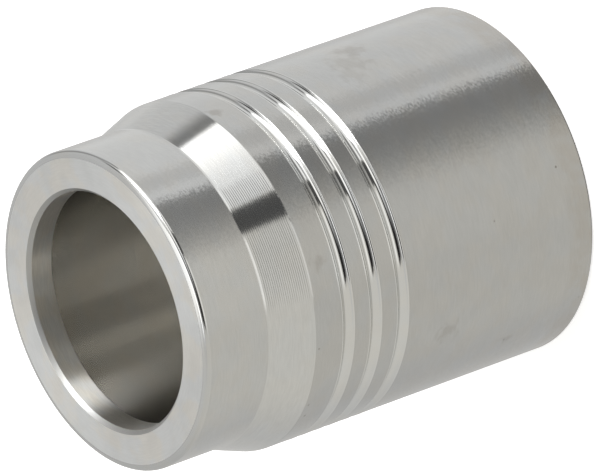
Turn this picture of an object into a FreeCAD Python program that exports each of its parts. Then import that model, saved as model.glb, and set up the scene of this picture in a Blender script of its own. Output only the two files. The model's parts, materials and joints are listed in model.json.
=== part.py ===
import FreeCAD, Part
import math
import os
from collections import namedtuple

import Sketcher

# Crimp ferrule for a hydraulic hose, turned from stainless bar as one piece.
# It stands on its open hose end: the origin is the centre of that end and +Z
# points along the axis to the nose, which seats on the fitting. Millimetres.

SIZES = {
    # Outside
    "overall_length": 47.5,  # hose end to nose face
    "body_diameter": 36.0,  # barrel that the crimping dies close on
    "nose_diameter": 32.8,
    "nose_length": 7.65,  # nose face to the foot of the taper
    "taper_length": 4.65,  # along the axis, from nose diameter to body diameter
    "taper_foot_radius": 1.3,  # hollow blend where the nose meets the taper
    "taper_shoulder_radius": 0.9,  # round blend where the taper meets the barrel
    "nose_edge_radius": 0.8,
    "hose_edge_break": 0.25,
    # Bores
    "nose_bore": 24.4,  # seats on the fitting's collar
    "nose_lip_break": 0.4,
    "land_length": 3.0,  # how far the nose bore runs in from the nose face
    "land_edge_break": 0.15,
    "hose_bore": 28.0,  # takes the hose, up to the step behind the land
    "mouth_chamfer": 0.8,
    # Marking grooves round the barrel
    "mark_gap": 4.0,  # end of the taper to the middle of the first groove
    "mark_pitch": 3.42,
    "mark_count": 3,
    "mark_width": 1.4,  # across the open top of a groove
    "mark_floor": 0.5,  # flat at its bottom, between the sloped walls
    "mark_depth": 0.4,
    # Grip rings inside the hose bore
    "mouth_length": 4.8,  # plain bore between the hose end and the first ring groove
    "grip_pitch": 4.8,
    "grip_count": 5,
    "grip_crest": 0.9,  # flat on top of each ring, level with the hose bore
    "grip_depth": 1.2,
}

NODE = "ferrule"
TOLERANCE = 1e-4

# How a sketch constraint names a line's two ends, and the sketch's own origin and axes.
START, END = 1, 2
ORIGIN, VERTICAL_AXIS = -1, -2
HORIZONTAL_AXIS = ORIGIN

# A corner of a half-section: its radius and height as formulas, and the size
# that names its blend radius where it isn't sharp.
Corner = namedtuple("Corner", ["radius", "height", "blend"], defaults=[None])


def make_sheet(doc):
    """The spreadsheet that holds every driving size, one alias to a row."""
    sheet = doc.addObject("Spreadsheet::Sheet", "Sizes")
    for row, (alias, value) in enumerate(SIZES.items(), start=1):
        sheet.set(f"A{row}", alias)
        sheet.set(f"B{row}", str(value))
        sheet.setAlias(f"B{row}", alias)
    doc.recompute()
    return sheet


def origin_feature(body, role):
    """One of the body's own axes or planes, found by its role."""
    for feature in body.Origin.OriginFeatures:
        if feature.Role == role:
            return feature
    raise ValueError(f"the body has no {role}")


def half_section(body, name):
    """An empty sketch on the half-section plane: x is a radius and y a height."""
    sketch = body.newObject("Sketcher::SketchObject", name)
    sketch.AttachmentSupport = [(origin_feature(body, "XZ_Plane"), "")]
    sketch.MapMode = "FlatFace"
    return sketch


def bind(sketch, kind, geometry, point, formula):
    """Hold a point at a radius (DistanceX) or height (DistanceY) given by a formula."""
    value = sketch.evalExpression(formula)
    index = sketch.addConstraint(
        Sketcher.Constraint(kind, ORIGIN, START, geometry, point, value)
    )
    sketch.setExpression(f"Constraints[{index}]", formula)


def blend_corner(sketch, number, size):
    """Round the corner where that line starts; the sharp corner stays as a point."""
    formula = f"Sizes.{size}"
    radius = sketch.evalExpression(formula)
    arc = sketch.GeometryCount
    trim = True
    keep_corner = True
    sketch.fillet(number, START, radius, trim, keep_corner)
    index = sketch.addConstraint(Sketcher.Constraint("Radius", arc, radius))
    sketch.setExpression(f"Constraints[{index}]", formula)
    return arc + 1


def draw_outline(sketch, corners):
    """A closed outline of straight lines through the corners, some of them blended.

    A line between two equal radii is held vertical and one between two equal
    heights horizontal; every other corner is dimensioned from the axes, or lies
    on an axis where its formula is 0.
    """
    places = [
        FreeCAD.Vector(
            sketch.evalExpression(corner.radius), sketch.evalExpression(corner.height), 0
        )
        for corner in corners
    ]
    for start, end in zip(places, places[1:] + places[:1]):
        sketch.addGeometry(Part.LineSegment(start, end))
    for number in range(len(corners)):
        line = (number - 1) % len(corners)
        sketch.addConstraint(Sketcher.Constraint("Coincident", line, END, number, START))
    for number, corner in enumerate(corners):
        before = corners[number - 1]
        line = (number - 1) % len(corners)
        held = blend_corner(sketch, number, corner.blend) if corner.blend else number
        if corner.radius == before.radius:
            sketch.addConstraint(Sketcher.Constraint("Vertical", line))
        elif corner.radius == "0":
            sketch.addConstraint(
                Sketcher.Constraint("PointOnObject", held, START, VERTICAL_AXIS)
            )
        else:
            bind(sketch, "DistanceX", held, START, corner.radius)
        if corner.height == before.height:
            sketch.addConstraint(Sketcher.Constraint("Horizontal", line))
        elif corner.height == "0":
            sketch.addConstraint(
                Sketcher.Constraint("PointOnObject", held, START, HORIZONTAL_AXIS)
            )
        else:
            bind(sketch, "DistanceY", held, START, corner.height)


def spin(body, kind, name, sketch):
    """Turn a half-section round the axis: a Revolution adds it, a Groove cuts it."""
    before = body.Shape.Volume if kind == "Groove" else 0.0
    feature = body.newObject(f"PartDesign::{kind}", name)
    feature.Profile = sketch
    feature.ReferenceAxis = (sketch, ["V_Axis"])
    feature.Angle = 360
    body.Document.recompute()
    if kind == "Groove" and not feature.Shape.Volume < before:
        raise ValueError(f"{name} cut nothing")
    return feature


def repeat(body, name, feature, count, pitch, towards_nose):
    """Copy a cut along the axis, count times in all, pitch apart."""
    before = feature.Shape.Volume
    pattern = body.newObject("PartDesign::LinearPattern", name)
    pattern.Originals = [feature]
    pattern.Direction = (origin_feature(body, "Z_Axis"), [""])
    pattern.Reversed = not towards_nose
    pattern.setExpression("Occurrences", count)
    pattern.setExpression("Length", f"({count} - 1) * {pitch}")
    body.Tip = pattern
    body.Document.recompute()
    if pattern.Occurrences > 1 and not pattern.Shape.Volume < before:
        raise ValueError(f"{name} cut nothing")


def ring_edge(feature, radius, height):
    """Name of the feature's circular edge of that radius at that height."""
    for number, edge in enumerate(feature.Shape.Edges, start=1):
        curve = edge.Curve
        if not isinstance(curve, Part.Circle):
            continue
        near_radius = math.isclose(curve.Radius, radius, abs_tol=TOLERANCE)
        near_height = math.isclose(curve.Center.z, height, abs_tol=TOLERANCE)
        if near_radius and near_height:
            return f"Edge{number}"
    raise ValueError(f"no ring of radius {radius:.3f} at height {height:.3f}")


def dress(body, kind, name, size, radius, height):
    """A Fillet or Chamfer, of the size in that cell, on the ring edge at that place."""
    base = body.Tip
    ring = ring_edge(base, base.evalExpression(radius), base.evalExpression(height))
    feature = body.newObject(f"PartDesign::{kind}", name)
    feature.Base = (base, [ring])
    feature.setExpression("Radius" if kind == "Fillet" else "Size", f"Sizes.{size}")
    body.Document.recompute()


# Radii and heights that several features share, as formulas on the sheet.
BARREL = "Sizes.body_diameter / 2"
NOSE = "Sizes.nose_diameter / 2"
NOSE_BORE = "Sizes.nose_bore / 2"
HOSE_BORE = "Sizes.hose_bore / 2"
TOP = "Sizes.overall_length"
TAPER_FOOT = f"{TOP} - Sizes.nose_length"
TAPER_SHOULDER = f"{TAPER_FOOT} - Sizes.taper_length"
STEP = f"{TOP} - Sizes.land_length"


def turn_outside(body):
    """The solid blank: straight barrel, blended taper and nose, with its edges."""
    section = half_section(body, "OutsideSection")
    corners = [
        Corner("0", "0"),
        Corner(BARREL, "0"),
        Corner(BARREL, TAPER_SHOULDER, blend="taper_shoulder_radius"),
        Corner(NOSE, TAPER_FOOT, blend="taper_foot_radius"),
        Corner(NOSE, TOP),
        Corner("0", TOP),
    ]
    draw_outline(section, corners)
    spin(body, "Revolution", "Outside", section)
    dress(body, "Fillet", "NoseEdge", "nose_edge_radius", NOSE, TOP)
    dress(body, "Chamfer", "HoseEdge", "hose_edge_break", BARREL, "0")


def bore_inside(body):
    """The hose bore from one end, the narrower nose bore from the other."""
    section = half_section(body, "BoreSection")
    corners = [
        Corner("0", "0"),
        Corner(HOSE_BORE, "0"),
        Corner(HOSE_BORE, STEP),
        Corner(NOSE_BORE, STEP),
        Corner(NOSE_BORE, TOP),
        Corner("0", TOP),
    ]
    draw_outline(section, corners)
    spin(body, "Groove", "Bores", section)
    dress(body, "Chamfer", "HoseMouth", "mouth_chamfer", HOSE_BORE, "0")
    dress(body, "Chamfer", "NoseLip", "nose_lip_break", NOSE_BORE, TOP)
    dress(body, "Chamfer", "LandEdge", "land_edge_break", NOSE_BORE, STEP)


def cut_marks(body):
    """Three shallow grooves outside, with sloped walls and a narrow floor."""
    middle = f"{TAPER_SHOULDER} - Sizes.mark_gap"
    floor = f"{BARREL} - Sizes.mark_depth"
    section = half_section(body, "MarkSection")
    corners = [
        Corner(BARREL, f"{middle} - Sizes.mark_width / 2"),
        Corner(BARREL, f"{middle} + Sizes.mark_width / 2"),
        Corner(floor, f"{middle} + Sizes.mark_floor / 2"),
        Corner(floor, f"{middle} - Sizes.mark_floor / 2"),
    ]
    draw_outline(section, corners)
    first = spin(body, "Groove", "FirstMark", section)
    repeat(
        body, "Marks", first, "Sizes.mark_count", "Sizes.mark_pitch", towards_nose=False
    )


def cut_grips(body):
    """Grip rings: each has a steep side towards the nose and a ramp to the mouth."""
    low = "Sizes.mouth_length"
    section = half_section(body, "GripSection")
    corners = [
        Corner(HOSE_BORE, low),
        Corner(f"{HOSE_BORE} + Sizes.grip_depth", low),
        Corner(HOSE_BORE, f"{low} + Sizes.grip_pitch - Sizes.grip_crest"),
    ]
    draw_outline(section, corners)
    first = spin(body, "Groove", "FirstGrip", section)
    repeat(
        body, "Grips", first, "Sizes.grip_count", "Sizes.grip_pitch", towards_nose=True
    )


def make_ferrule(doc):
    """The whole ferrule, in the order that a lathe would cut it."""
    body = doc.addObject("PartDesign::Body", "Ferrule")
    body.Label = NODE
    body.Placement = FreeCAD.Placement()
    turn_outside(body)
    bore_inside(body)
    cut_marks(body)
    cut_grips(body)
    return body


def check(doc, bodies):
    """Stop before anything is written if an object failed or a shape is unsound."""
    doc.recompute()
    for item in doc.Objects:
        if "Invalid" in item.State or "Error" in item.State:
            raise RuntimeError(f"{item.Label} failed: {item.State}")
        if item.TypeId == "Sketcher::SketchObject" and not item.FullyConstrained:
            raise RuntimeError(f"{item.Label} has sizes that nothing holds")
    for body in bodies:
        shape = body.Shape
        if shape.isNull() or not shape.isValid() or len(shape.Solids) != 1:
            raise RuntimeError(f"{body.Label} is not one valid solid")


def write(bodies):
    """One STEP file for each body, named by its label."""
    os.makedirs("parts", exist_ok=True)
    for body in bodies:
        body.Shape.exportStep(f"parts/{body.Label}.step")
        box = body.Shape.optimalBoundingBox()
        print(
            f"{body.Label}: {box.XLength:.2f} x {box.YLength:.2f} x {box.ZLength:.2f} mm,",
            f"{body.Shape.Volume:.1f} cubic mm, {len(body.Shape.Faces)} faces",
        )


document = FreeCAD.newDocument("CrimpFerrule")
make_sheet(document)
made = [make_ferrule(document)]
check(document, made)
write(made)
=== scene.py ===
# %% [markdown]
# # A turned hose ferrule
# A ferrule is the steel sleeve that a press squeezes round the end of a
# hydraulic hose. This one is a single piece of stainless steel, turned on a
# lathe from bar: a plain barrel with three marking grooves, a short taper, a
# narrower nose, and a stepped bore that can be looked into from the nose.
# The lesson builds its looks round a model that already has the real sizes.
# Nearly all of the work is in two places: an honest half-section, and a
# studio for bare metal to reflect.

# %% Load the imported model
import json
import math
from collections import namedtuple

import bpy
import numpy as np
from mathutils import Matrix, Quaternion, Vector


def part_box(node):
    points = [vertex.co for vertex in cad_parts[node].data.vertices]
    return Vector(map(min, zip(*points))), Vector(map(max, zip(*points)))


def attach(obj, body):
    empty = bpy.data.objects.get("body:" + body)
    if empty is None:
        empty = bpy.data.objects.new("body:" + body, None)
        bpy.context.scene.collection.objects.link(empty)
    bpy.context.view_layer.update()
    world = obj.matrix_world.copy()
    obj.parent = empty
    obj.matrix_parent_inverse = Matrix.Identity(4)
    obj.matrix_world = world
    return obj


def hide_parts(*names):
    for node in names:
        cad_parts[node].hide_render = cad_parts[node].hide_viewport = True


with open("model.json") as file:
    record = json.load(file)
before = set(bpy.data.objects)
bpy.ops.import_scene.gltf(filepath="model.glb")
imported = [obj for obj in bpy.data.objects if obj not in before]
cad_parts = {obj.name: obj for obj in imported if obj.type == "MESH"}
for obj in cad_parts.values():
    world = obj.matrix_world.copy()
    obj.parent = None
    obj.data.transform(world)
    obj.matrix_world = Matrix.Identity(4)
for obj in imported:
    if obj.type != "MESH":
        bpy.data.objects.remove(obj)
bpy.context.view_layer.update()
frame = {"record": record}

# Blender counts in metres here, while the ferrule's sizes are in millimetres.
MM = 0.001
low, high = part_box("ferrule")
mounts = {mount["name"]: mount for mount in frame["record"]["mounts"]}
print("packed model stands from", tuple(low), "to", tuple(high))

# %% [markdown]
# ## The camera
# The photograph shows the ferrule lying down, seen from far away with a long
# lens. Here the ferrule stands on its hose end, so the camera looks down on
# it at the same angle to its axis and is rolled instead. Three Euler angles
# would do it, but each of them changes what the others mean. So the look
# direction comes first and then the roll round it, and each can be adjusted
# alone.

# %% Camera at the photograph's angle
# The point that the camera looks at and how far off it stands, in metres.
AIM = Vector((0.00040, 0.0, 0.02277))
CAMERA_DISTANCE = 1.0413
CAMERA_ELEVATION = math.radians(33.92)
CAMERA_ROLL = math.radians(-109.53)
# The focal length, in millimetres.
LENS = 629.8


def add_camera():
    """A camera in front of the ferrule, raised to its elevation and rolled."""
    away = Vector((0.0, -math.cos(CAMERA_ELEVATION), math.sin(CAMERA_ELEVATION)))
    data = bpy.data.cameras.new("camera")
    data.lens = LENS
    camera = bpy.data.objects.new("camera", data)
    bpy.context.scene.collection.objects.link(camera)
    camera.location = AIM + CAMERA_DISTANCE * away
    facing = away.to_track_quat("Z", "Y")
    camera.rotation_mode = "QUATERNION"
    camera.rotation_quaternion = facing @ Quaternion((0.0, 0.0, 1.0), CAMERA_ROLL)
    bpy.context.scene.camera = camera
    return camera


bpy.context.scene.view_settings.view_transform = "Standard"
camera = add_camera()
print("camera at", tuple(round(value, 4) for value in camera.location))

# %% [markdown]
# ## Small helpers for nodes
# Every material and the studio are node trees. Adding a node and setting its
# inputs in one call keeps the later cells short enough to read as sentences.
# An input may be a number, a colour or the output of another node. Most
# inputs are found by their names. The inputs of a Math or a Mix node share
# their names, so those are found by their numbers.

# %% Node helpers
# A Mix node has sockets for every kind of value. These are the colours' ones.
MIX_FACTOR = 0
MIX_FIRST = 6
MIX_SECOND = 7
MIX_RESULT = 2


def add_node(tree, kind, settings=None, numbered=None, **named):
    """A node of that kind, with values or other nodes' outputs on its inputs."""
    node = tree.nodes.new(kind)
    for name, value in (settings or {}).items():
        setattr(node, name, value)
    inputs = dict(numbered or {})
    for name, value in named.items():
        inputs[name.replace("_", " ")] = value
    for key, value in inputs.items():
        if isinstance(value, bpy.types.NodeSocket):
            tree.links.new(value, node.inputs[key])
        else:
            node.inputs[key].default_value = value
    return node


def maths(tree, operation, *values):
    """The result of a Math node on up to three numbers or outputs."""
    settings = {"operation": operation}
    return add_node(tree, "ShaderNodeMath", settings, dict(enumerate(values))).outputs[0]


def vectors(tree, operation, *values):
    """The result of a Vector Math node on one vector or two."""
    settings = {"operation": operation}
    node = add_node(tree, "ShaderNodeVectorMath", settings, dict(enumerate(values)))
    return node.outputs["Value" if operation == "LENGTH" else "Vector"]


def scaled(tree, vector, factor):
    """A vector or a colour, times a number."""
    settings = {"operation": "SCALE"}
    node = add_node(tree, "ShaderNodeVectorMath", settings, {0: vector}, Scale=factor)
    return node.outputs["Vector"]


def split(tree, vector):
    """The X, Y and Z of a vector, by name."""
    return add_node(tree, "ShaderNodeSeparateXYZ", Vector=vector).outputs


def mix_colours(tree, factor, first, second):
    """The first colour where the factor is 0 and the second where it is 1."""
    inputs = {MIX_FACTOR: factor, MIX_FIRST: first, MIX_SECOND: second}
    return add_node(tree, "ShaderNodeMix", {"data_type": "RGBA"}, inputs).outputs[MIX_RESULT]


def smooth_range(tree, value, start, end, to_start=0.0, to_end=1.0):
    """A smooth step from to_start to to_end while the value goes from start to end."""
    node = add_node(
        tree,
        "ShaderNodeMapRange",
        {"interpolation_type": "SMOOTHSTEP"},
        Value=value,
        From_Min=start,
        From_Max=end,
        To_Min=to_start,
        To_Max=to_end,
    )
    return node.outputs["Result"]


# %% [markdown]
# ## The studio
# Bare metal has hardly any look of its own: what is seen is the room, drawn
# out into bands by the turned surface. A photographer of metal therefore
# builds the picture with white cards, softboxes and black flags. A plain
# white room would leave the ferrule flat and grey. Lamps alone would leave
# it black between a few highlights. So a room of cards and lamps stands round
# the ferrule, and each is a panel given by its direction: azimuth 0 is the
# camera's side, and 90 is the side that faces up in the photograph. Later
# panels hang in front of earlier ones, as cards on stands would.

# %% Panels of the studio
# Each panel, in degrees: its left side and how soft that side is, the same for
# its right side, its bottom and top and how soft both are. Then its level of
# light, and how warm that light is, from 0 to 1.
Panel = namedtuple(
    "Panel",
    "left left_edge right right_edge bottom top ends level warmth",
    defaults=[0.2],
)

PANELS = {
    # The room's own surfaces.
    "floor": Panel(-180, 0, 180, 0, -100, -48, 14, 0.42, 1.0),
    "ceiling": Panel(-180, 0, 180, 0, 60, 100, 16, 0.60),
    # The wall beyond the upper edge, with its grey and dark stretches.
    "white_wall": Panel(84, 5, 204, 60, -60, 48, 12, 0.83),
    "grey_over_wall": Panel(96, 8, 204, 60, -24, 60, 12, 0.67),
    "grey_behind_wall": Panel(154, 16, 204, 60, -60, 48, 12, 0.63),
    "grey_far_side": Panel(180, 30, 248, 50, -60, 40, 30, 0.58, 0.4),
    "wall_in_shade": Panel(102, 8, 150, 14, -4, 17, 8, 0.36),
    "black_far_floor": Panel(150, 20, 210, 20, -78, -44, 6, 0.05),
    # Two cards and a shade below the softbox.
    "low_grey_card": Panel(58, 4, 85, 5, -70, -26, 6, 0.66),
    "shade_below_softbox": Panel(26, 44, 63, 9, -70, -26, 6, 0.25),
    "card_by_shade": Panel(61, 4, 70, 6, -46, -25, 4, 0.86),
    # The softbox, its brighter parts, the one strong lamp and the dark gaps.
    "softbox": Panel(34.5, 2, 90, 2, -22, 46, 5, 0.92),
    "softbox_foot": Panel(34.5, 3, 52, 8, -22, -3, 5, 1.15),
    "softbox_core": Panel(68, 44, 90, 2, -14, 30, 8, 1.80),
    "softbox_top": Panel(60, 6, 112, 10, 42, 64, 6, 1.25),
    "lamp": Panel(50, 4, 84, 6, 12, 45, 6, 8.5),
    "gap_in_softbox": Panel(35, 3, 49, 4, 5, 17, 6, 0.26),
    "slit_beside_softbox": Panel(90.5, 3, 102, 14, -15, 3, 6, 0.22),
    "black_above_slit": Panel(97, 6, 114, 6, 26, 43, 6, 0.06),
    # Lamps overhead and high at the back.
    "zenith_lamp": Panel(-180, 0, 180, 0, 73, 100, 6, 1.90),
    "back_lamp": Panel(130, 30, 192, 16, 57, 82, 8, 1.50),
    # The camera's side: a black flag, the dark room and what is lit round it.
    "flag": Panel(17, 3, 33.5, 2, -26, 22, 6, 0.08),
    "dark_room": Panel(-33, 4, 20, 8, 10, 72, 5, 0.02),
    "grey_over_dark_room": Panel(-40, 12, 44, 8, 49, 74, 5, 0.24),
    "strip_lamp": Panel(8, 48, 51, 4, 27, 46, 6, 1.40),
    "card_under_dark_room": Panel(-32, 12, 14, 6, -27, -4, 8, 1.08, 0.6),
}
levels = [panel.level for panel in PANELS.values()]
print("studio has", len(PANELS), "panels, from level", min(levels), "to", max(levels))

# %% [markdown]
# ## Painting the panels on the world
# The cards and lamps could be objects, but then they would stand in the way
# of a camera that walks round the ferrule. Painted on the world by direction,
# they block no view, and a soft edge is one smooth step. Each panel becomes a
# mask over the directions, and the masks are laid over one another from the
# first panel to the last. The camera itself sees plain white behind
# everything.

# %% Hang the panels
FULL_CIRCLE = 360.0
HALF_CIRCLE = 180.0
WHITE = (1.0, 1.0, 1.0, 1.0)
# The tint of the warmest light, and the bare room before any panel hangs in it.
WARM_LIGHT = (1.025, 1.0, 0.935)
ROOM = Panel(-180, 0, 180, 0, -100, 100, 0, 0.68, 1.0)


def tinted(tint, share):
    """White, drawn towards a tint by a share from 0 to 1."""
    return [1.0 + share * (part - 1.0) for part in tint]


def panel_light(panel):
    """The colour of light that a panel gives off."""
    return tuple(panel.level * part for part in tinted(WARM_LIGHT, panel.warmth)) + (1.0,)


def direction_angles(tree):
    """Azimuth and elevation, in degrees, of the direction a ray looks in."""
    look = add_node(tree, "ShaderNodeTexCoord").outputs["Generated"]
    parts = split(tree, look)
    front = maths(tree, "MULTIPLY", parts["Y"], -1.0)
    azimuth = maths(tree, "ARCTAN2", parts["X"], front)
    elevation = maths(tree, "ARCSINE", parts["Z"])
    return maths(tree, "DEGREES", azimuth), maths(tree, "DEGREES", elevation)


def inside_span(tree, angle, start, start_edge, end, end_edge):
    """1 inside a span of angles, 0 outside it, with soft edges; it may pass 180."""
    middle = (start + end) / 2
    half = (end - start) / 2
    offset = maths(tree, "SUBTRACT", angle, middle)
    wrapped = maths(tree, "WRAP", offset, HALF_CIRCLE, -HALF_CIRCLE)
    rise = smooth_range(tree, wrapped, -half - start_edge / 2, -half + start_edge / 2)
    fall = smooth_range(tree, wrapped, half + end_edge / 2, half - end_edge / 2)
    return maths(tree, "MULTIPLY", rise, fall)


def hang_panels(tree, azimuth, elevation):
    """The light from a direction, after every panel is hung in the room."""
    light = panel_light(ROOM)
    for panel in PANELS.values():
        mask = inside_span(tree, elevation, panel.bottom, panel.ends, panel.top, panel.ends)
        if panel.right - panel.left < FULL_CIRCLE:
            across = inside_span(
                tree, azimuth, panel.left, panel.left_edge, panel.right, panel.right_edge
            )
            mask = maths(tree, "MULTIPLY", mask, across)
        light = mix_colours(tree, mask, light, panel_light(panel))
    return light


def light_studio():
    """A world that shows the panels to everything but the camera."""
    world = bpy.data.worlds.new("studio")
    world.use_nodes = True
    bpy.context.scene.world = world
    tree = world.node_tree
    tree.nodes.clear()
    azimuth, elevation = direction_angles(tree)
    light = hang_panels(tree, azimuth, elevation)
    seen = add_node(tree, "ShaderNodeLightPath").outputs["Is Camera Ray"]
    light = mix_colours(tree, seen, light, WHITE)
    background = add_node(tree, "ShaderNodeBackground", Color=light)
    add_node(tree, "ShaderNodeOutputWorld", Surface=background.outputs[0])
    return world


studio = light_studio()
print("studio is painted with", len(studio.node_tree.nodes), "nodes")

# %% [markdown]
# ## The table
# The ferrule stands on a pale table that meets the white background without
# an edge. A little light of its own, for the camera only, lifts the table to
# white and keeps the shadow soft. Mirror rays pass through it, so that
# the metal sees the studio's lower panels where the table would be. The
# table is clear from below, because a shelf of white would hide the hose end
# from anyone who looks at it there.

# %% Table
TABLE_SIZE = 4.0
TABLE_COLOUR = (0.80, 0.80, 0.80, 1.0)
# How strongly the table glows for the camera.
TABLE_LIFT = 0.62
# The table lies this far under the hose end, so that they never share a plane.
TABLE_GAP = 0.02 * MM


def table_top():
    """Matt white that glows a little for the camera and is clear from below."""
    material = bpy.data.materials.new("white_table")
    material.use_nodes = True
    tree = material.node_tree
    tree.nodes.clear()
    matt = add_node(tree, "ShaderNodeBsdfDiffuse", Color=TABLE_COLOUR).outputs[0]
    seen = add_node(tree, "ShaderNodeLightPath").outputs["Is Camera Ray"]
    strength = maths(tree, "MULTIPLY", seen, TABLE_LIFT)
    glow = add_node(tree, "ShaderNodeEmission", Strength=strength).outputs[0]
    lifted = add_node(tree, "ShaderNodeAddShader", None, {0: matt, 1: glow}).outputs[0]
    clear = add_node(tree, "ShaderNodeBsdfTransparent").outputs[0]
    below = add_node(tree, "ShaderNodeNewGeometry").outputs["Backfacing"]
    surface = add_node(tree, "ShaderNodeMixShader", None, {0: below, 1: lifted, 2: clear})
    add_node(tree, "ShaderNodeOutputMaterial", Surface=surface.outputs[0])
    return material


def add_table():
    """A large plane under the ferrule, which mirror rays and shadow rays don't meet."""
    bpy.ops.mesh.primitive_plane_add(size=TABLE_SIZE, location=(0.0, 0.0, low.z - TABLE_GAP))
    table = bpy.context.object
    table.name = "table"
    table.visible_glossy = False
    table.visible_shadow = False
    table.data.materials.append(table_top())
    return table


bpy.ops.object.select_all(action="DESELECT")
table = add_table()
print("table is", TABLE_SIZE, "m wide, at a height of", round(table.location.z / MM, 3), "mm")

# %% [markdown]
# ## The half-section
# A turned part is one outline swept round an axis, so the outline decides
# everything. It could be bent from a cylinder with bevels and insets, but
# each groove would then be a separate fight with the mesh. A lathe works from
# a profile, and so does this lesson. Its sizes come first, in millimetres.
# The length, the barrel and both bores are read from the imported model, so that
# the outline can't drift away from it. The radii of the blends come last. No
# edge of a real part is perfectly sharp, and it is these radii that catch the
# light.

# %% Sizes of the half-section
# BARREL, NOSE and the two bores are radii.
LENGTH = (high.z - low.z) / MM
BARREL = (high.x - low.x) / 2 / MM
NOSE_BORE = mounts["nose_bore"]["dims"]["r_mm"]
HOSE_BORE = mounts["hose_bore"]["dims"]["r_mm"]
NOSE = 16.4
NOSE_LENGTH = 7.65
TAPER_LENGTH = 4.65
LAND_LENGTH = 3.0
RIM_WIDTH = 0.75
RIM_DROP = 0.197
LIP_BREAK = 0.4
LAND_BREAK = 0.15
HOSE_EDGE_BREAK = 0.25
MOUTH_CHAMFER = 0.8

TAPER_FOOT = LENGTH - NOSE_LENGTH
TAPER_SHOULDER = TAPER_FOOT - TAPER_LENGTH
LAND_END = LENGTH - LAND_LENGTH

FINE_EDGE = 0.05
HOSE_EDGE_BLEND = 0.15
SHOULDER_BLEND = 0.9
FOOT_BLEND = 1.3
NOSE_EDGE_BLEND = 0.447
RIM_BLEND = 1.0
LIP_FACE_BLEND = 0.08
LIP_BORE_BLEND = 0.12
STEP_BLEND = 0.2
print("barrel radius", round(BARREL, 3), "and length", round(LENGTH, 3), "mm")

# %% [markdown]
# ## The grip rings
# Inside the barrel are rings that bite into the hose. The photograph doesn't
# reach them, but a view up through the mouth or steeply down through the nose
# does, and without them it would find a plain tube. They are a sawtooth in the
# outline. Each ring's steep side faces the nose, so the hose slides in over
# the ramps and is held when it is pulled.

# %% Corners of the grip rings
GRIP_START = 4.8
GRIP_PITCH = 4.8
GRIP_COUNT = 5
GRIP_CREST = 0.9
GRIP_DEPTH = 1.2


def grip_corners():
    """The grip rings' sawtooth, from the nose side down to the mouth."""
    corners = []
    for ring in reversed(range(GRIP_COUNT)):
        foot = GRIP_START + ring * GRIP_PITCH
        corners.append((HOSE_BORE, foot + GRIP_PITCH - GRIP_CREST, FINE_EDGE))
        corners.append((HOSE_BORE + GRIP_DEPTH, foot, FINE_EDGE))
        corners.append((HOSE_BORE, foot, FINE_EDGE))
    return corners


print("grip rings have", len(grip_corners()), "corners")

# %% [markdown]
# ## The corners in order
# The whole half-section is now a short list of corners, in the order in which
# a finger would follow them: out across the hose end, up the outside, in over
# the nose and back down the bore. Points for the curves could be listed too,
# but then a change of one radius would mean new points by hand.

# %% Corners of the half-section
# Each corner is its radius, its height and the radius that it is blended with.
CORNERS = [
    (HOSE_BORE + MOUTH_CHAMFER, 0.0, FINE_EDGE),
    (BARREL - HOSE_EDGE_BREAK, 0.0, FINE_EDGE),
    (BARREL, HOSE_EDGE_BREAK, HOSE_EDGE_BLEND),
    (BARREL, TAPER_SHOULDER, SHOULDER_BLEND),
    (NOSE, TAPER_FOOT, FOOT_BLEND),
    (NOSE, LENGTH - RIM_DROP, NOSE_EDGE_BLEND),
    (NOSE - RIM_WIDTH, LENGTH, RIM_BLEND),
    (NOSE_BORE + LIP_BREAK, LENGTH, LIP_FACE_BLEND),
    (NOSE_BORE, LENGTH - LIP_BREAK, LIP_BORE_BLEND),
    (NOSE_BORE, LAND_END + LAND_BREAK, FINE_EDGE),
    (NOSE_BORE + LAND_BREAK, LAND_END, FINE_EDGE),
    (HOSE_BORE, LAND_END, STEP_BLEND),
    *grip_corners(),
    (HOSE_BORE, MOUTH_CHAMFER, FINE_EDGE),
]
print("half-section has", len(CORNERS), "corners")

# %% [markdown]
# ## Rounding the corners
# Between two straight stretches the blend is an arc that touches both. Its
# points come from one formula, so a corner of any angle gets the number of
# short edges that its turn needs. The Bevel modifier rounds corners too, but
# it goes by a width along the surface, and these corners are known by their
# radii.

# %% Blend arcs
ARC_STEP = math.radians(9)


def blend_arc(before, corner, after, radius):
    """Points on the arc that touches both stretches at a corner, end to end."""
    to_before = (before - corner).normalized()
    to_after = (after - corner).normalized()
    turn = math.pi - to_before.angle(to_after)
    reach = radius * math.tan(turn / 2)
    inwards = (to_before + to_after).normalized()
    centre = corner + inwards * radius / math.cos(turn / 2)
    start = corner + to_before * reach - centre
    end = corner + to_after * reach - centre
    square = (end - start * math.cos(turn)) / math.sin(turn)
    steps = max(2, math.ceil(turn / ARC_STEP))
    angles = [turn * step / steps for step in range(steps + 1)]
    return [centre + start * math.cos(angle) + square * math.sin(angle) for angle in angles]


def rounded_outline(corners):
    """Every point of the closed outline, in radius and height, in millimetres."""
    places = [Vector((radius, height)) for radius, height, _ in corners]
    points = []
    for number, (_, _, blend) in enumerate(corners):
        before = places[number - 1]
        after = places[(number + 1) % len(places)]
        points += blend_arc(before, places[number], after, blend)
    return points


outline = rounded_outline(CORNERS)
print("rounded outline has", len(outline), "points")

# %% [markdown]
# ## The marking grooves
# The three grooves are cut with a round-nosed tool, which leaves a hollow
# bottom and pushes up a thin lip at each side. The lips are only a few
# hundredths of a millimetre high, yet they give each groove its second
# bright line. A boolean with three rings could cut the hollows but would raise
# no lips. So a groove is a formula along the barrel: the tool's circle between
# its edges, and over each edge a small bump that dies away on both sides.

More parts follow.
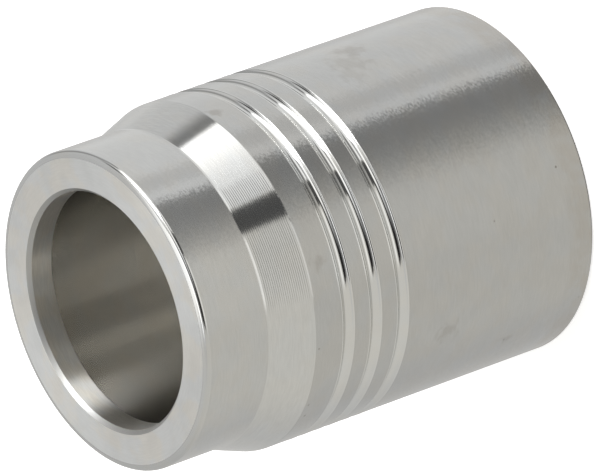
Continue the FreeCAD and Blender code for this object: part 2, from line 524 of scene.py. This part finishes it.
# %% Groove profile
# From the taper's shoulder down to the middle of the first groove.
MARK_DISTANCE = 4.02
MARK_TOP = TAPER_SHOULDER - MARK_DISTANCE
MARK_PITCH = 3.42
MARK_COUNT = 3
MARK_DEPTH = 0.41
MARK_TOOL_RADIUS = 0.75
MARK_HALF_WIDTH = math.sqrt(MARK_TOOL_RADIUS**2 - (MARK_TOOL_RADIUS - MARK_DEPTH) ** 2)
LIP_HEIGHT = 0.025
LIP_WIDTH = 0.09
# How far to each side of its middle a groove is drawn, and in how many steps.
GROOVE_REACH = 1.2
GROOVE_STEPS = 40
# The outline's points on the barrel below this height belong to the hose end's edge.
HOSE_EDGE_TOP = 1.0


def groove_offset(distance):
    """How far the surface lies outside the barrel, at a distance from the middle."""
    gap = abs(distance) - MARK_HALF_WIDTH
    lip = LIP_HEIGHT * math.exp(-((gap / LIP_WIDTH) ** 2))
    if gap >= 0:
        return lip
    hollow = math.sqrt(MARK_TOOL_RADIUS**2 - distance**2) - MARK_TOOL_RADIUS + MARK_DEPTH
    return lip - hollow


def groove_points(middle):
    """Points across one groove, from its hose side to its nose side."""
    spread = np.linspace(-GROOVE_REACH, GROOVE_REACH, GROOVE_STEPS + 1)
    return [Vector((BARREL + groove_offset(step), middle + step)) for step in spread]


def with_grooves(points):
    """The outline with the grooves let into the barrel's long straight stretch."""
    edge_points = [
        number
        for number, point in enumerate(points)
        if point.x > BARREL - FINE_EDGE and point.y < HOSE_EDGE_TOP
    ]
    grooves = []
    for mark in reversed(range(MARK_COUNT)):
        grooves += groove_points(MARK_TOP - mark * MARK_PITCH)
    after_edge = edge_points[-1] + 1
    return points[:after_edge] + grooves + points[after_edge:]


outline = with_grooves(outline)
print("outline with grooves has", len(outline), "points")

# %% [markdown]
# ## Turning the part
# The outline is drawn as a chain of edges, one extrusion after another, and
# then spun round the axis. The Screw modifier would do the same, but the spin
# operator leaves a plain mesh at once. Where the last copy meets the first,
# the doubled points are merged, and the faces are then turned to point
# outwards.

# %% Draw and spin the outline
SPIN_STEPS = 256
MERGE_DISTANCE = 0.002 * MM


def draw_outline(points):
    """A new mesh object with one closed chain of edges through the points."""
    places = [Vector((point.x * MM, 0.0, point.y * MM)) for point in points]
    bpy.ops.object.select_all(action="DESELECT")
    bpy.ops.mesh.primitive_plane_add(size=MM, location=(0.0, 0.0, 0.0))
    bpy.ops.object.mode_set(mode="EDIT")
    bpy.ops.mesh.merge(type="CENTER")
    bpy.ops.transform.translate(value=places[0])
    for start, end in zip(places, places[1:] + places[:1]):
        bpy.ops.mesh.extrude_region_move(TRANSFORM_OT_translate={"value": end - start})
    bpy.ops.mesh.select_all(action="SELECT")
    bpy.ops.mesh.remove_doubles(threshold=MERGE_DISTANCE)
    bpy.ops.object.mode_set(mode="OBJECT")
    return bpy.context.object


def spin_outline(piece):
    """Turn the drawn outline once round the axis and close the seam."""
    bpy.ops.object.mode_set(mode="EDIT")
    bpy.ops.mesh.select_all(action="SELECT")
    bpy.ops.mesh.spin(
        steps=SPIN_STEPS, angle=math.tau, center=(0.0, 0.0, 0.0), axis=(0.0, 0.0, 1.0)
    )
    bpy.ops.mesh.select_all(action="SELECT")
    bpy.ops.mesh.remove_doubles(threshold=MERGE_DISTANCE)
    bpy.ops.mesh.normals_make_consistent(inside=False)
    bpy.ops.object.mode_set(mode="OBJECT")
    return piece


ferrule = spin_outline(draw_outline(outline))
ferrule.name = "turned_ferrule"
ferrule.data.name = "turned_ferrule"
print("spun mesh has", len(ferrule.data.polygons), "faces")

# %% [markdown]
# ## Smooth shading
# Long flat faces lie next to tiny blend faces. Plain smooth shading would
# share one normal between them and smear the blend over the whole face.
# The Weighted Normal modifier lets the large faces keep their own normals, so
# the shading turns only inside the blends.

# %% Shade the mesh
# The most that the modifier can favour large faces.
FULL_WEIGHT = 100

bpy.ops.object.select_all(action="DESELECT")
ferrule.select_set(True)
bpy.context.view_layer.objects.active = ferrule
bpy.ops.object.shade_smooth()
weighting = ferrule.modifiers.new("large_faces_lead", "WEIGHTED_NORMAL")
weighting.mode = "FACE_AREA"
weighting.weight = FULL_WEIGHT
bpy.ops.object.modifier_apply(modifier=weighting.name)
print("smooth normals at", len(ferrule.data.vertices), "points")

# %% [markdown]
# ## What every finish shares
# A turned surface is covered with fine rings round the axis. They spread a
# reflection along the axis and keep it narrow round the part, so the
# shader's roughness is anisotropic. A UV map could give that its direction,
# but it would need a seam. Here it is worked out from the position: round the
# axis first, then at a right angle to that within the surface. The noises
# that pattern the steel are drawn out round the axis too, some only a little
# and some as much as the rings.

# %% Directions and noises of a turned surface
# A noise's size in mm, round the axis and across it, and its detail.
Pattern = namedtuple("Pattern", "length width detail")


def surface_frame(tree):
    """Object position, and the directions round the axis and along the profile."""
    position = add_node(tree, "ShaderNodeTexCoord").outputs["Object"]
    normal = add_node(tree, "ShaderNodeNewGeometry").outputs["Normal"]
    around = vectors(tree, "CROSS_PRODUCT", (0.0, 0.0, 1.0), position)
    around = vectors(tree, "NORMALIZE", around)
    along = vectors(tree, "CROSS_PRODUCT", around, normal)
    return position, around, along


def drawn_out(tree, position, pattern, on_face):
    """Coordinates in which one unit is as long and as wide as the pattern says."""
    parts = split(tree, position)
    flat = add_node(tree, "ShaderNodeCombineXYZ", X=parts["X"], Y=parts["Y"]).outputs[0]
    across = vectors(tree, "LENGTH", flat) if on_face else parts["Z"]
    stretched_x = maths(tree, "DIVIDE", parts["X"], pattern.length * MM)
    stretched_y = maths(tree, "DIVIDE", parts["Y"], pattern.length * MM)
    narrow = maths(tree, "DIVIDE", across, pattern.width * MM)
    node = add_node(tree, "ShaderNodeCombineXYZ", X=stretched_x, Y=stretched_y, Z=narrow)
    return node.outputs[0]


def noise(tree, position, pattern, on_face=False):
    """A noise between 0 and 1, with cells as large as the pattern says."""
    coordinates = drawn_out(tree, position, pattern, on_face)
    node = add_node(
        tree, "ShaderNodeTexNoise", Vector=coordinates, Scale=1.0, Detail=pattern.detail
    )
    return node.outputs["Fac"]


# %% [markdown]
# ## Pits and stains
# The real barrel isn't quite clean: it has a few pits as small as a pinprick
# and some faint brown stains. They could be painted on an image, but the
# barrel would need a map of its own for it. Each mark is a soft round spot at
# its place on the barrel instead. A noise pushes its edge in and out, because
# no stain is a perfect disc.

# %% Marks on the barrel
# How far round a mark is, in degrees from the front, its height and its size in
# mm, and how much darker it is.
Mark = namedtuple("Mark", "turn height size strength")

PITS = [
    Mark(-4.5, 3.3, 0.16, 0.40),
    Mark(-53.1, 0.9, 0.16, 0.40),
    Mark(-61.8, 9.6, 0.18, 0.40),
    Mark(-14.3, 12.1, 0.14, 0.35),
    Mark(-58.1, 34.8, 0.18, 0.40),
    Mark(-63.9, 34.6, 0.18, 0.40),
    Mark(-35.3, 34.9, 0.16, 0.40),
]
STAINS = [
    Mark(64.0, 15.2, 2.2, 0.13),
    Mark(57.0, 16.8, 2.6, 0.08),
    Mark(50.5, 18.2, 2.0, 0.06),
    Mark(-46.7, 18.3, 1.6, 0.09),
    Mark(55.0, 34.2, 1.0, 0.15),
    Mark(-8.0, 33.8, 1.0, 0.10),
    Mark(-61.7, 9.3, 0.9, 0.08),
]
MARK_EDGES = Pattern(1.1, 0.8, 4.0)
# As shares of a mark's size: how far the noise moves its edge, and its full core.
EDGE_WANDER = 2.4
MARK_CORE = 0.1
# The middle of a noise between 0 and 1.
NOISE_MIDDLE = 0.5


def mark_place(mark):
    """Where a mark is on the barrel, in metres."""
    angle = math.radians(mark.turn)
    place = (math.sin(angle) * BARREL, -math.cos(angle) * BARREL, mark.height)
    return tuple(part * MM for part in place)


def mark_mask(tree, position, marks):
    """How much darker the surface is in the marks, which have ragged, soft edges."""
    mask = 0.0
    ragged = maths(tree, "SUBTRACT", noise(tree, position, MARK_EDGES), NOISE_MIDDLE)
    for mark in marks:
        offset = vectors(tree, "SUBTRACT", position, mark_place(mark))
        wander = maths(tree, "MULTIPLY", ragged, EDGE_WANDER * mark.size * MM)
        away = maths(tree, "ADD", vectors(tree, "LENGTH", offset), wander)
        rim = mark.size * MM
        core = MARK_CORE * mark.size * MM
        inside = smooth_range(tree, away, rim, core, 0.0, mark.strength)
        mask = maths(tree, "MAXIMUM", mask, inside)
    return mask


print("barrel has", len(PITS), "pits and", len(STAINS), "stains")

# %% [markdown]
# ## What makes one finish differ from another
# Turning, facing and boring leave one steel with different finishes: a satin
# barrel, bright grooves, feed lines on the taper. Each could be a material
# made by itself, but nine of those would soon look like nine metals. Here all
# come from one recipe, and a finish is only its list of values.

# %% Values of a finish
# The values come in this order.
# brightness: how bright the steel is, partly painted light and shade
# roughness: how blurred its reflections are
# anisotropy: how much more they are drawn out along the axis than round it
# grain: the height of the fine rings, in mm
# waver: how far the normal leans to and fro round the axis, which makes speckle
# streak: how much lighter and darker the rings are
# stain: how far the colour drifts from cool to warm, and how dull its clouds are
# warmth: a painted warm tint over all of the steel, for light bounced between steel walls
# feed: the pitch and the height of the tool's feed marks, in mm
# on_face: whether the rings lie on a face that is square to the axis
# marks: its pits and stains
Finish = namedtuple(
    "Finish",
    "shade roughness anisotropy grain waver streak stain warmth feed on_face marks",
    defaults=[0.0, None, False, ()],
)

# %% [markdown]
# ## The colour of the steel
# Stainless steel is a slightly warm grey, and on a real part the grey is never
# even: it drifts between cool and warm, clouds make it a little duller, and the
# fine rings are by turns lighter and darker. Near the hose end there are
# browner patches. One flat colour would look like paint. A noise for each of
# these, all of them faint, looks like metal.

# %% Colour of the steel
COOL_STEEL = (0.540, 0.547, 0.545)
WARM_STEEL = (0.557, 0.546, 0.518)
BROWN_STEEL = (0.535, 0.522, 0.495, 1.0)
# The painted warm tint of steel whose warmth is 1.
WARM_TONE = (1.0, 0.965, 0.90)

# The noises of the colour, and the stretch of each in which it takes effect.
BLOTCHES = Pattern(4.0, 3.0, 4.0)
BLOTCH_RANGE = (0.42, 0.58)
CLOUDS = Pattern(2.6, 2.2, 5.0)
CLOUD_RANGE = (0.35, 0.65)
RING_SHADES = Pattern(1.4, 0.12, 3.0)
RING_RANGE = (0.3, 0.7)
# How much duller the clouds make the steel for each unit of stain.
CLOUD_DULLING = 0.05

# The browner patches: up to what height in mm they go, from what share of it they
# fade, and the stretch of the clouds in which they show. Then how brown a mark is
# for its darkness.
BROWN_HEIGHT = 3.6
BROWN_FADE = 0.6
BROWN_RANGE = (0.35, 0.6)
MARK_BROWN = 5.0


def toned(colour, finish):
    """A steel colour as bright and as warm as the finish has it, its painted light and warm
    tint included.
    """
    tone = tinted(WARM_TONE, finish.warmth)
    return tuple(finish.shade * a * b for a, b in zip(colour, tone)) + (1.0,)


def brownness(tree, position, cloud, dark):
    """How brown the steel is: in patches near the hose end, and in the marks."""
    height = split(tree, position)["Z"]
    fade_start = BROWN_FADE * BROWN_HEIGHT * MM
    band = smooth_range(tree, height, fade_start, BROWN_HEIGHT * MM, 1.0, 0.0)
    patches = maths(tree, "MULTIPLY", band, smooth_range(tree, cloud, *BROWN_RANGE))
    return maths(tree, "MAXIMUM", patches, maths(tree, "MULTIPLY", dark, MARK_BROWN))


def steel_colour(tree, position, finish):
    """Steel that drifts between cool and warm, with fine lighter and darker rings."""
    blotch = noise(tree, position, BLOTCHES)
    cloud = noise(tree, position, CLOUDS)
    rings = noise(tree, position, RING_SHADES, finish.on_face)
    drift = smooth_range(tree, blotch, *BLOTCH_RANGE, 0.0, finish.stain)
    dull = smooth_range(tree, cloud, *CLOUD_RANGE, 1.0 - CLOUD_DULLING * finish.stain, 1.0)
    light = smooth_range(tree, rings, *RING_RANGE, 1.0 - finish.streak, 1.0 + finish.streak)
    light = maths(tree, "MULTIPLY", light, dull)
    colour = mix_colours(tree, drift, toned(COOL_STEEL, finish), toned(WARM_STEEL, finish))
    if finish.marks:
        dark = mark_mask(tree, position, finish.marks)
        light = maths(tree, "MULTIPLY", light, maths(tree, "SUBTRACT", 1.0, dark))
        brown = brownness(tree, position, cloud, dark)
        colour = mix_colours(tree, brown, colour, BROWN_STEEL)
    return scaled(tree, colour, light)


# %% [markdown]
# ## The rings as relief
# The rings are far too fine to model. A bump map tilts the surface as they
# would, and on the taper it adds the even wave of the tool's feed. That alone
# leaves each reflection with a clean edge, while the photograph shows it
# speckled. So a second noise sways the normal to and fro round the axis, which
# breaks up the edges that run along the part and leaves the others alone.

# %% Relief of the rings
FINE_RINGS = Pattern(1.1, 0.10, 3.0)
SWAYS = Pattern(0.3, 0.2, 3.0)
SWAY_RANGE = (0.25, 0.75)


def relief(tree, position, finish):
    """The height, in metres, of the fine rings and of the tool's feed marks."""
    fine = noise(tree, position, FINE_RINGS, finish.on_face)
    height = maths(tree, "MULTIPLY", fine, finish.grain * MM)
    if finish.feed:
        pitch, depth = finish.feed
        along_axis = split(tree, position)["Z"]
        turns = maths(tree, "MULTIPLY", along_axis, math.tau / (pitch * MM))
        wave = maths(tree, "MULTIPLY", maths(tree, "SINE", turns), depth * MM)
        height = maths(tree, "ADD", height, wave)
    return height


def turned_surface(tree, position, around, finish):
    """The surface's normal, roughened by the relief and swayed round the axis."""
    height = relief(tree, position, finish)
    rough = add_node(tree, "ShaderNodeBump", Strength=1.0, Distance=1.0, Height=height)
    drift = noise(tree, position, SWAYS, finish.on_face)
    tilt = smooth_range(tree, drift, *SWAY_RANGE, -finish.waver, finish.waver)
    sway = scaled(tree, around, tilt)
    return vectors(tree, "NORMALIZE", vectors(tree, "ADD", rough.outputs[0], sway))


# %% [markdown]
# ## The finishes
# Now each finish is one material and one row of values. The barrel and the
# nose are satin, with the most speckle. The taper, the grooves and the nose's
# edge are bright. The nose was faced, so its rings lie flat on the face, which
# is rougher. A finish's brightness is partly painted light and shade: every
# finish but the lip's chamfer is painted lighter than the barrel, most of all
# the nose's face and the grooves, and the chamfer is painted darker. The bores
# have a painted warm tint for the light that bounces between their steel
# walls. Further apart the rows would stop looking like one piece of metal.

# %% Finishes
# Each row: brightness, which is partly painted light and shade, then roughness, anisotropy,
# grain, waver, streak, stain and warmth, which is a painted warm tint.
FINISHES = {
    "satin_barrel": Finish(1.03, 0.19, 0.3, 0.0007, 0.026, 0.02, 0.45, marks=PITS + STAINS),
    "satin_nose": Finish(1.14, 0.18, 0.3, 0.0005, 0.023, 0.018, 0.4),
    "turned_taper": Finish(1.26, 0.13, 0.5, 0.0002, 0.004, 0.03, 0.3, feed=(0.2, 0.0018)),
    "bright_groove": Finish(1.36, 0.10, 0.4, 0.0001, 0.003, 0.0, 0.4),
    "faced_nose": Finish(1.46, 0.34, 0.6, 0.0006, 0.010, 0.02, 1.0, on_face=True),
    "nose_edge": Finish(1.20, 0.13, 0.4, 0.0001, 0.004, 0.0, 0.4),
    "lip_chamfer": Finish(0.86, 0.42, 0.3, 0.0001, 0.004, 0.0, 0.4),
    # The warmth at the end of the two bore rows is a painted warm tint for bounced light.
    "bored_land": Finish(1.28, 0.33, 1.0, 0.0004, 0.006, 0.05, 1.0, 0.3),
    "bored_inside": Finish(1.14, 0.24, 1.0, 0.0004, 0.006, 0.04, 0.6, 0.8),
}


def turned_metal(name, finish):
    """Bare turned steel with one of the finishes."""
    material = bpy.data.materials.new(name)
    material.use_nodes = True
    tree = material.node_tree
    tree.nodes.clear()
    position, around, along = surface_frame(tree)
    metal = add_node(
        tree,
        "ShaderNodeBsdfPrincipled",
        Base_Color=steel_colour(tree, position, finish),
        Metallic=1.0,
        Roughness=finish.roughness,
        Anisotropic=finish.anisotropy,
        Normal=turned_surface(tree, position, around, finish),
        Tangent=along,
    )
    add_node(tree, "ShaderNodeOutputMaterial", Surface=metal.outputs[0])
    return material


for name, finish in FINISHES.items():
    turned_metal(name, finish)
print("finishes:", ", ".join(FINISHES))

# %% [markdown]
# ## Each finish in its place
# The finishes change where the tool changed: at the taper's two ends, at the
# grooves' lips and at the edges of the bore. By hand, each band of faces would
# be selected and assigned. In code it is safer to sort every face by the
# radius and height of its middle, because that still holds when a size is
# changed.

# %% Give the faces their finishes
# How far a finish goes past the size that bounds it, in millimetres.
FACE_MARGIN = 0.02
STEP_MARGIN = 0.3
FOOT_MARGIN = 0.1
SHOULDER_MARGIN = 0.05
# How far down from the nose face the bright edge goes.
NOSE_EDGE_DEPTH = 0.8


def finish_at(radius, height):
    """Which finish a face has, from its place on the part, in millimetres."""
    lip = NOSE_BORE + LIP_BREAK
    land = NOSE_BORE + LAND_BREAK
    if height > LENGTH - FACE_MARGIN and lip < radius < NOSE - RIM_WIDTH:
        return "faced_nose"
    if height > LENGTH - LIP_BREAK and radius < lip:
        return "lip_chamfer"
    if height < LAND_END + LAND_BREAK and radius < land:
        return "lip_chamfer" if height > LAND_END else "bored_inside"
    if radius < land:
        return "bored_land"
    if radius < HOSE_BORE + GRIP_DEPTH + FACE_MARGIN and height < LAND_END + STEP_MARGIN:
        return "bored_inside"
    if height > LENGTH - NOSE_EDGE_DEPTH:
        return "nose_edge"
    if height > TAPER_FOOT + FOOT_MARGIN:
        return "satin_nose"
    if height > TAPER_SHOULDER + SHOULDER_MARGIN:
        return "turned_taper"
    for mark in range(MARK_COUNT):
        if abs(height - MARK_TOP + mark * MARK_PITCH) < MARK_HALF_WIDTH + LIP_WIDTH:
            return "bright_groove"
    return "satin_barrel"


def dress_faces(piece):
    """Sort every face into the finish of its place, and count them."""
    names = list(FINISHES)
    for name in names:
        piece.data.materials.append(bpy.data.materials[name])
    counts = dict.fromkeys(names, 0)
    for face in piece.data.polygons:
        radius = math.hypot(face.center.x, face.center.y) / MM
        height = (face.center.z - low.z) / MM
        name = finish_at(radius, height)
        face.material_index = names.index(name)
        counts[name] += 1
    return counts


print("faces by finish:", dress_faces(ferrule))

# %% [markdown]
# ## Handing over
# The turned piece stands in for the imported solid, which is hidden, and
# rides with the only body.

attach(ferrule, "root")
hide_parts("ferrule")
